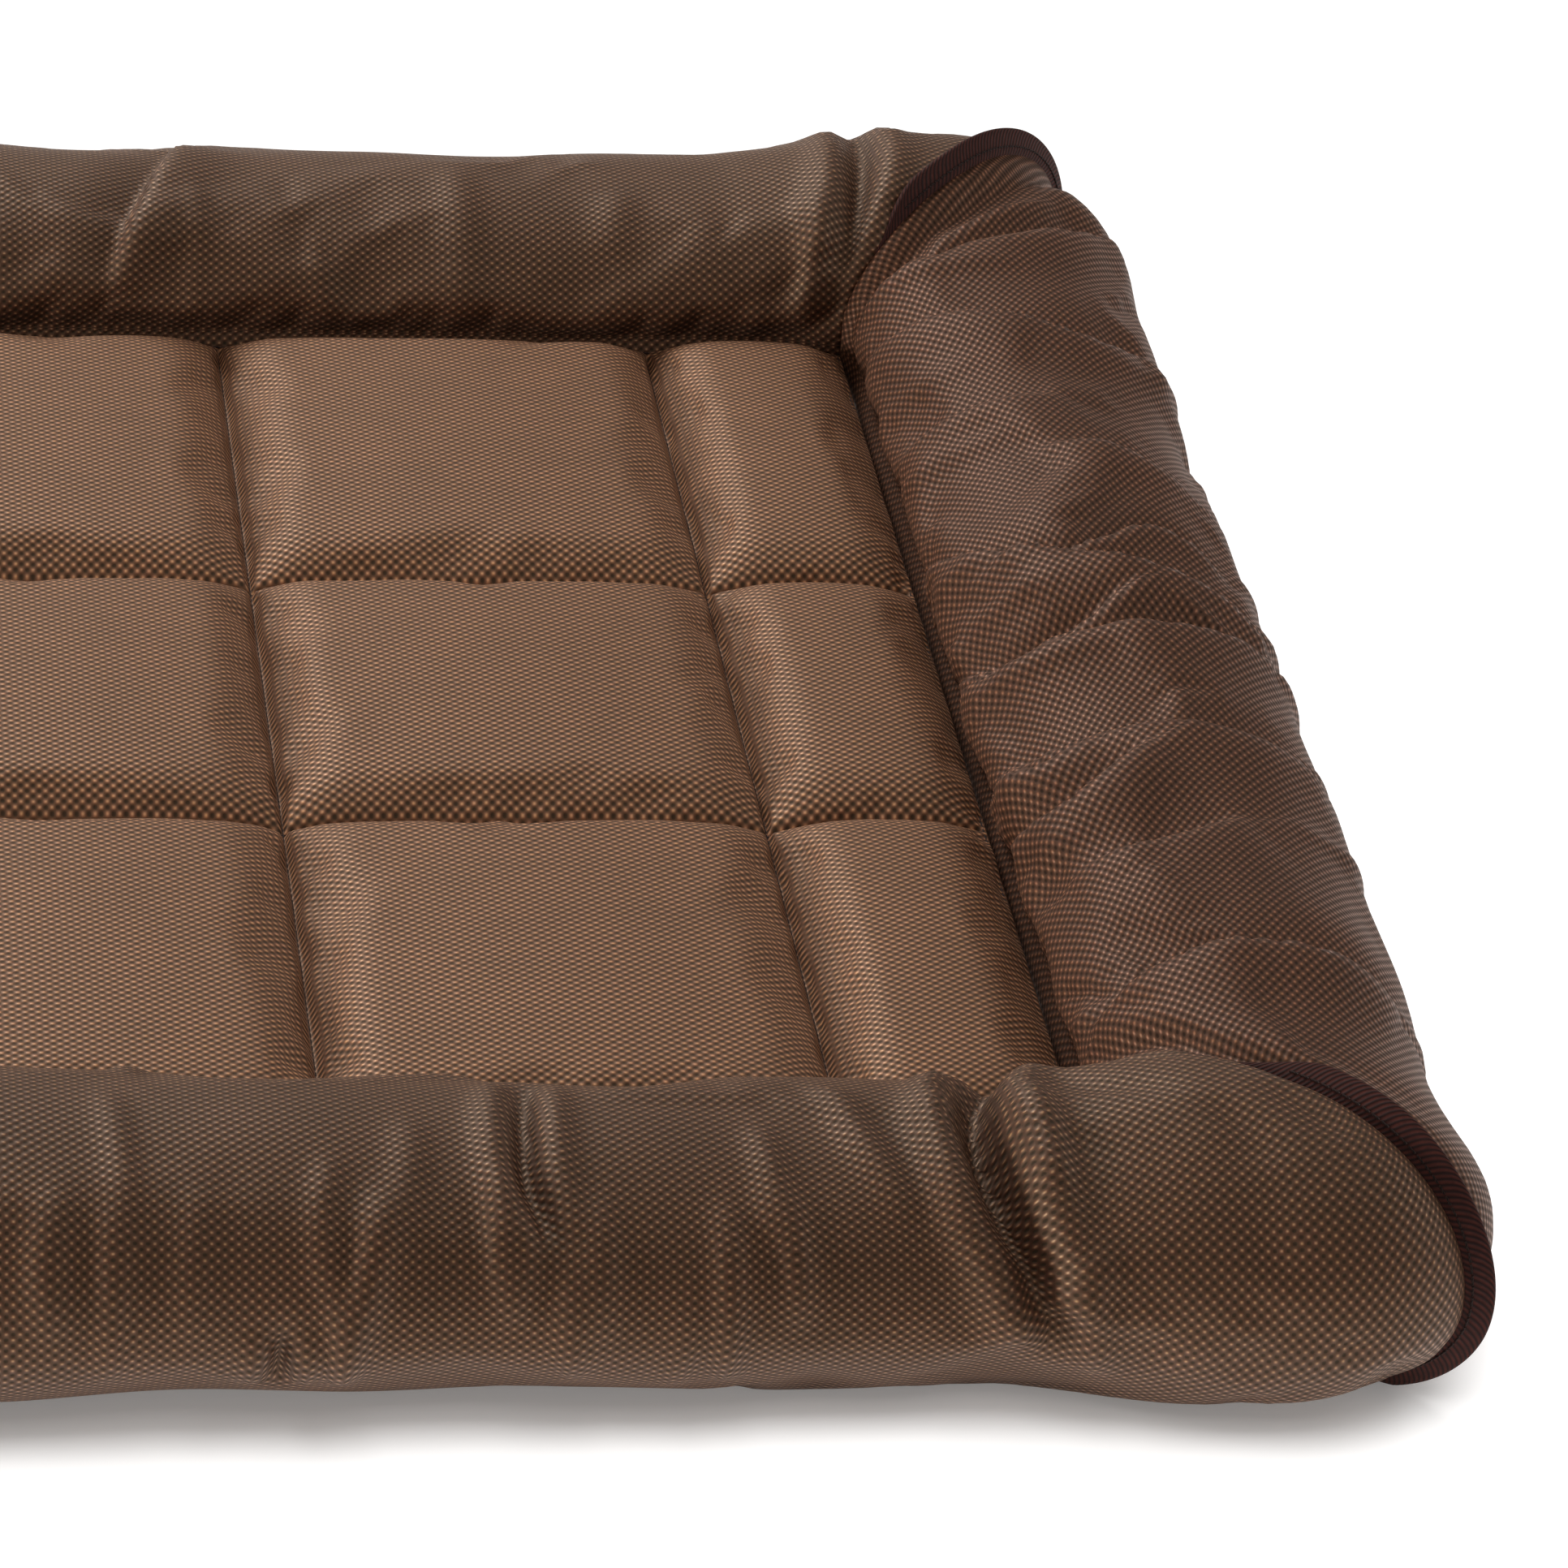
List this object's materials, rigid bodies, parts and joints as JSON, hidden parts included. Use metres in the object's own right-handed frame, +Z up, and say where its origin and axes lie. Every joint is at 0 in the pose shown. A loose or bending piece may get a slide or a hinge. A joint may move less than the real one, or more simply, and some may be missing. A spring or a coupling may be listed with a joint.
{
  "type": "pet cushion bed",
  "caption": "Rectangular quilted pet mat with a raised stuffed bolster along each side and taped, mitred corners.",
  "frame": {"origin": "centre of the underside, on the floor", "axes": "+Z up, +X along the bed's length, -Y to the front"},
  "size_m": [1.067, 0.69, 0.09],
  "materials": {
    "ballistic_nylon": "basket-woven ballistic nylon, satin",
    "polyester_batting": "bonded fibre sheet, matt",
    "polyester_fibre": "loose stuffing, matt",
    "binding_tape": "twill-woven polyester tape, matt",
    "sewing_thread": "twisted bonded polyester, slight sheen"
  },
  "bodies": {
    "root": {"back_bolster_cover": "ballistic_nylon", "back_bolster_fill": "polyester_fibre", "back_left_corner_tape": "binding_tape", "back_left_corner_tape_thread": "sewing_thread", "back_right_corner_tape": "binding_tape", "back_right_corner_tape_thread": "sewing_thread", "back_row_seam_thread": "sewing_thread", "column_seam_thread_1": "sewing_thread", "column_seam_thread_2": "sewing_thread", "column_seam_thread_3": "sewing_thread", "column_seam_thread_4": "sewing_thread", "column_seam_thread_5": "sewing_thread", "column_seam_thread_6": "sewing_thread", "front_bolster_cover": "ballistic_nylon", "front_bolster_fill": "polyester_fibre", "front_left_corner_tape": "binding_tape", "front_left_corner_tape_thread": "sewing_thread", "front_right_corner_tape": "binding_tape", "front_right_corner_tape_thread": "sewing_thread", "front_row_seam_thread": "sewing_thread", "left_bolster_cover": "ballistic_nylon", "left_bolster_fill": "polyester_fibre", "mat_batting": "polyester_batting", "mat_border_seam_thread": "sewing_thread", "mat_bottom_panel": "ballistic_nylon", "mat_top_panel": "ballistic_nylon", "right_bolster_cover": "ballistic_nylon", "right_bolster_fill": "polyester_fibre"}
  },
  "joints": []
}
